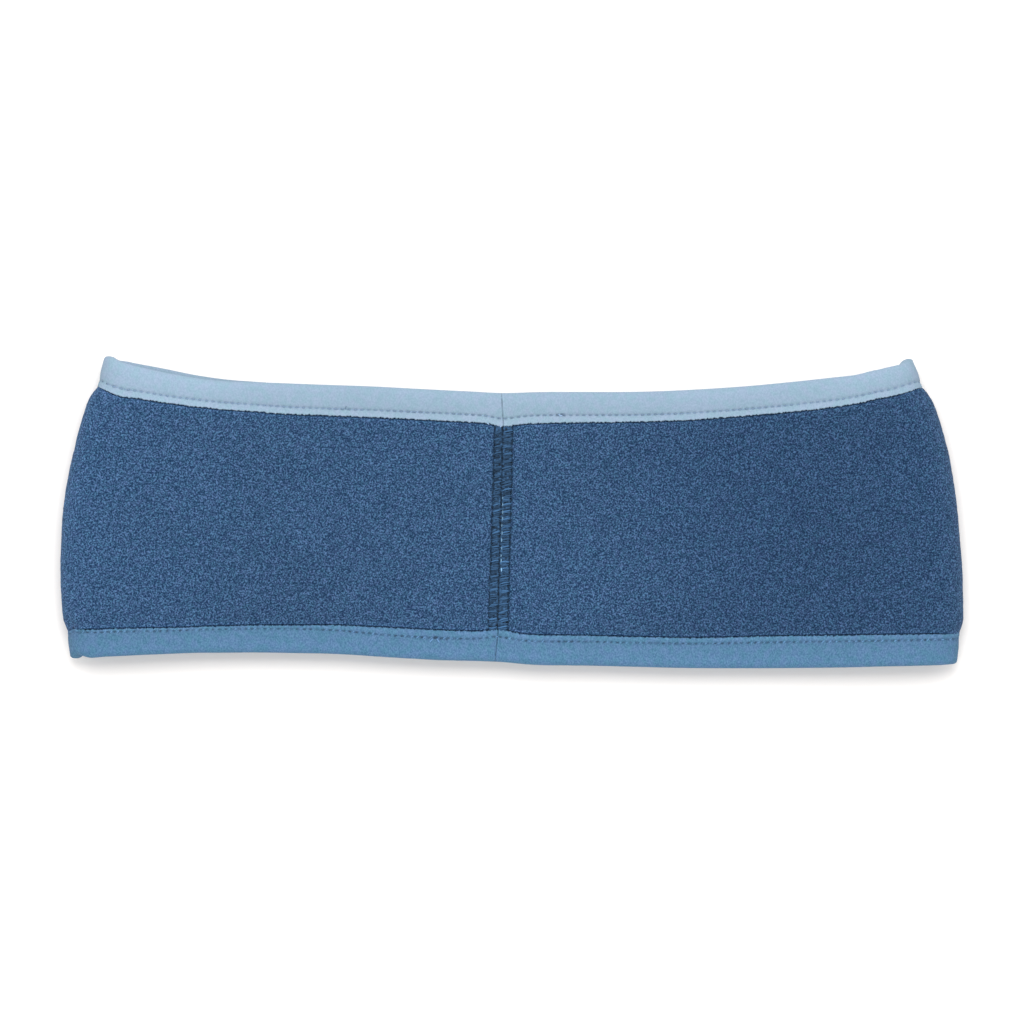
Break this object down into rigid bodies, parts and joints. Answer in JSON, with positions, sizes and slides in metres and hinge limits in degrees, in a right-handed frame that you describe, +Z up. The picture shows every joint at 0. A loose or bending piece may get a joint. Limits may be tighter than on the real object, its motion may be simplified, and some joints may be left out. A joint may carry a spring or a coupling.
{
  "type": "ear warmer headband",
  "caption": "Fleece ear warmer headband lying flat: a loop of thick fleece closed by a flatlock seam, with a stretch binding folded over each edge.",
  "frame": {"origin": "middle of the footprint, on the surface that the headband lies on", "axes": "+X along the band to the wearer's side folds, right in the picture; +Y from the bottom edge to the top edge; +Z up from the surface, through the back layer to the front layer"},
  "size_m": [0.2522, 0.0872, 0.0145],
  "materials": {
    "fleece": "pilled velour fleece, matt",
    "top_binding": "smooth stretch jersey tape, matt with a faint sheen",
    "bottom_binding": "smooth stretch jersey tape, matt with a faint sheen",
    "seam_thread": "spun polyester thread"
  },
  "bodies": {
    "root": {"fleece_strip": "fleece", "top_binding": "top_binding", "bottom_binding": "bottom_binding", "flatlock_seam": "seam_thread"}
  },
  "joints": []
}
